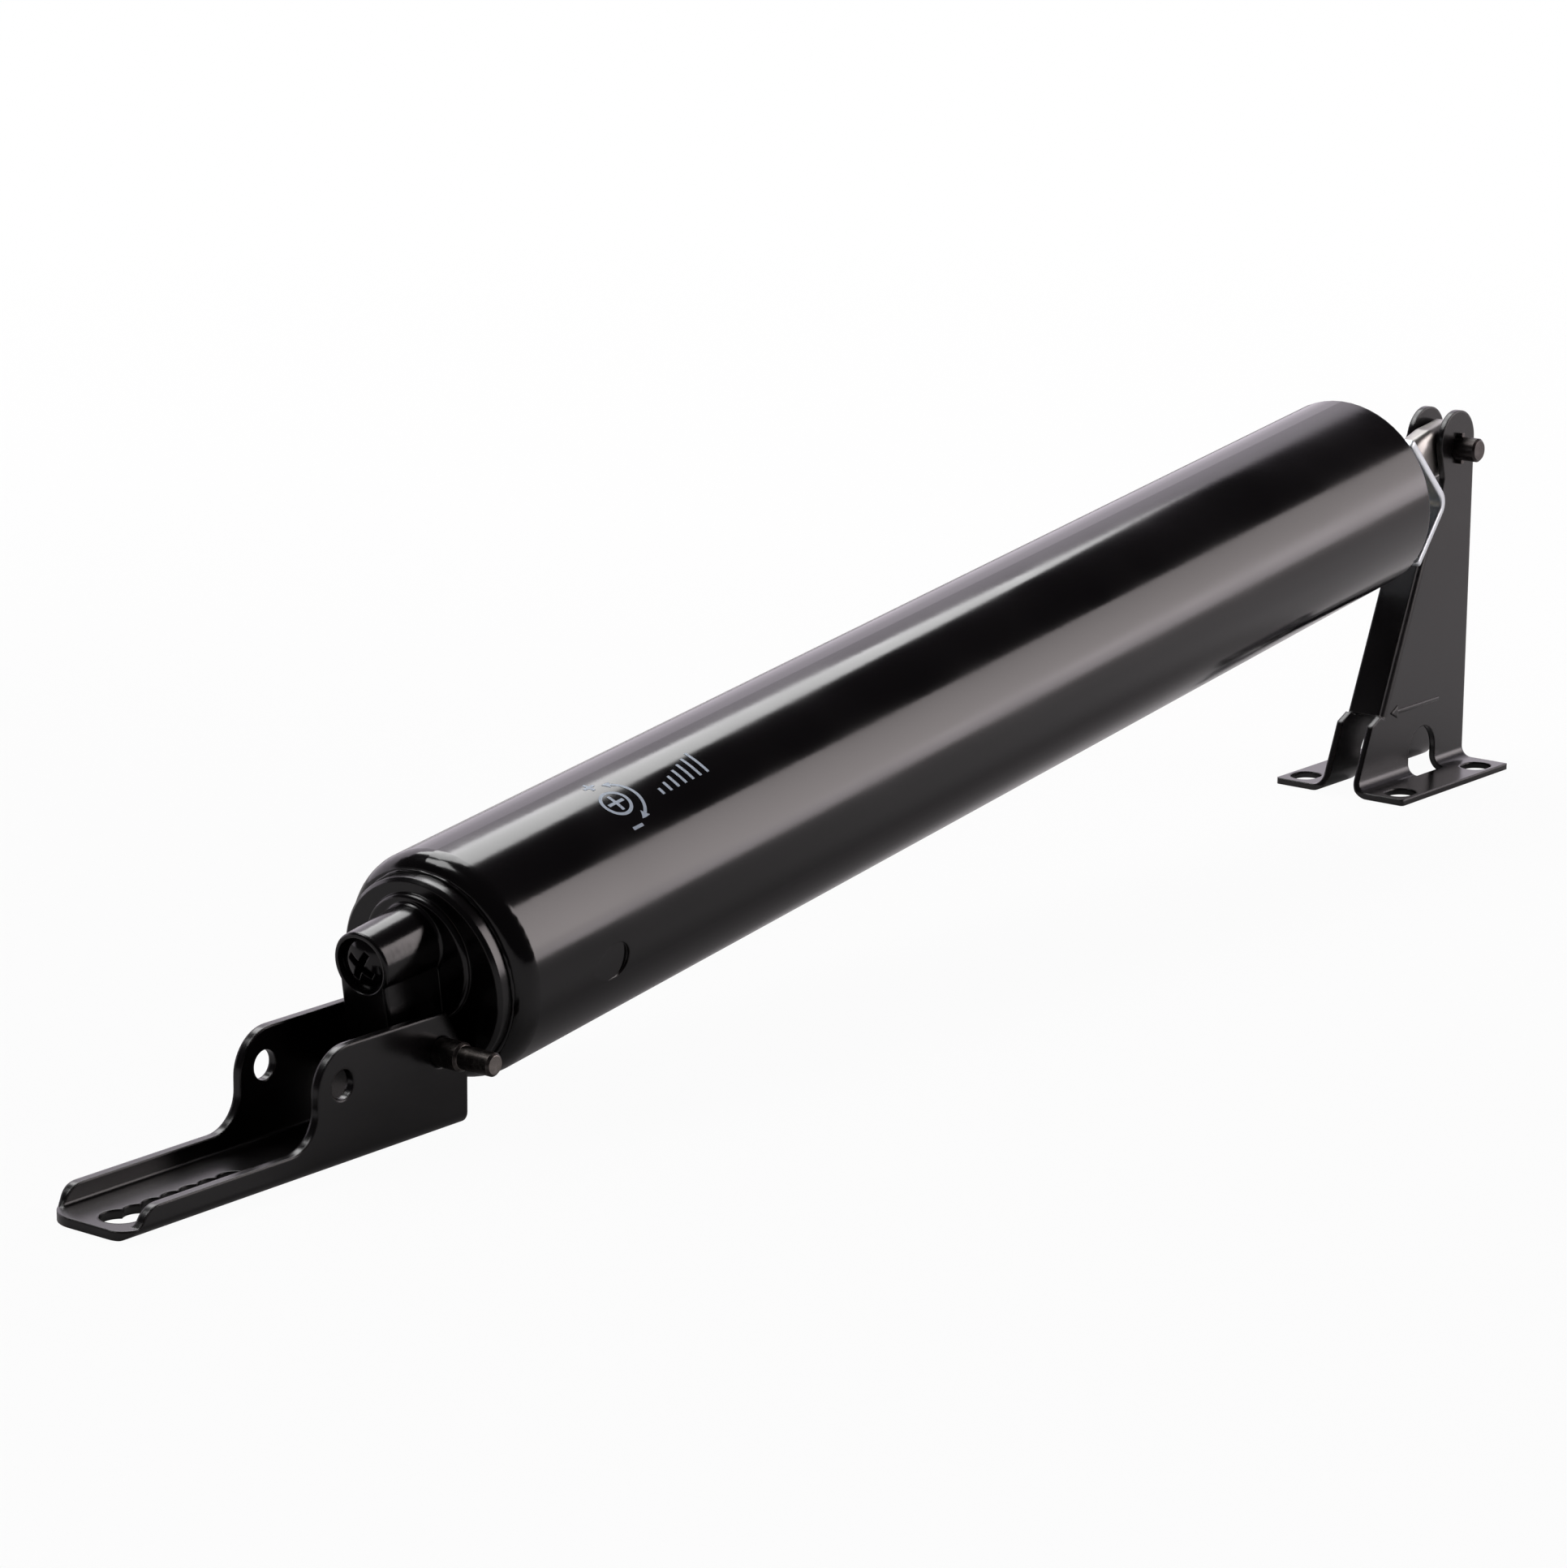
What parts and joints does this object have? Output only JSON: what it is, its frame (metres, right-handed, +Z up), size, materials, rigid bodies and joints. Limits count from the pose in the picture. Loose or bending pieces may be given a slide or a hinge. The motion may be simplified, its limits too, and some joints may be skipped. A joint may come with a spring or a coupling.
{
  "type": "pneumatic storm door closer",
  "caption": "Black tube door closer with a sliding rod, folded brackets pinned at both ends, a bent hold-open washer and an adjusting screw.",
  "frame": {"origin": "on the mounting plane under the door bracket, straight below its pin", "axes": "+X below the tube from the door bracket to the jamb bracket, +Z up from the mounting plane, -Y to the side that shows the pins' free ends"},
  "size_m": [0.3869, 0.0391, 0.0795],
  "materials": {
    "black_enamel": "semi-gloss black enamel",
    "zinc_bright": "bright zinc plating",
    "black_steel": "black oxide steel",
    "screw_steel": "plated steel",
    "spring_steel": "oiled spring steel",
    "cast_zinc": "as cast zinc",
    "seal_rubber": "matt black rubber",
    "natural_nylon": "natural nylon"
  },
  "bodies": {
    "barrel": {"barrel_tube": "black_enamel", "end_plug": "black_enamel", "plug_seal": "seal_rubber", "rod_guide": "cast_zinc", "guide_bushing": "natural_nylon", "retaining_ring": "black_steel", "spring_seat": "zinc_bright"},
    "valve_screw": {"adjusting_screw": "screw_steel", "screw_seal": "seal_rubber"},
    "rod_assembly": {"rod": "zinc_bright", "piston": "natural_nylon", "piston_cup": "seal_rubber", "cup_washer": "zinc_bright", "piston_nut": "zinc_bright", "return_spring": "spring_steel"},
    "hold_open": {"hold_open_washer": "zinc_bright"},
    "door_mount": {"door_bracket": "black_enamel", "door_pin": "black_steel"},
    "jamb_mount": {"jamb_bracket": "black_enamel", "jamb_pin": "black_steel"}
  },
  "joints": [
    {"name": "rod_slide", "type": "slide", "parent": "barrel", "child": "rod_assembly", "axis": [0.9903, 0, 0.1392], "range_m": [0, 0.165], "stiffness_N_per_m": 550, "springref_m": -0.073, "deforming": ["return_spring"]},
    {"name": "jamb_pivot", "type": "hinge", "parent": "rod_assembly", "child": "jamb_mount", "pos_m": [0.31139, 0, 0.0656], "axis": [0, 1, 0], "range_deg": [-110, 20]},
    {"name": "door_pivot", "type": "hinge", "parent": "barrel", "child": "door_mount", "pos_m": [0, 0, 0.0132], "axis": [0, 1, 0], "range_deg": [-8, 70]},
    {"name": "washer_slide", "type": "slide", "parent": "barrel", "child": "hold_open", "axis": [0.9903, 0, 0.1392], "range_m": [0, 0.006]},
    {"name": "valve_turn", "type": "hinge", "parent": "barrel", "child": "valve_screw", "pos_m": [-0.00864, 0, 0.02729], "axis": [0.9903, 0, 0.1392], "range_deg": [-360, 360]}
  ]
}
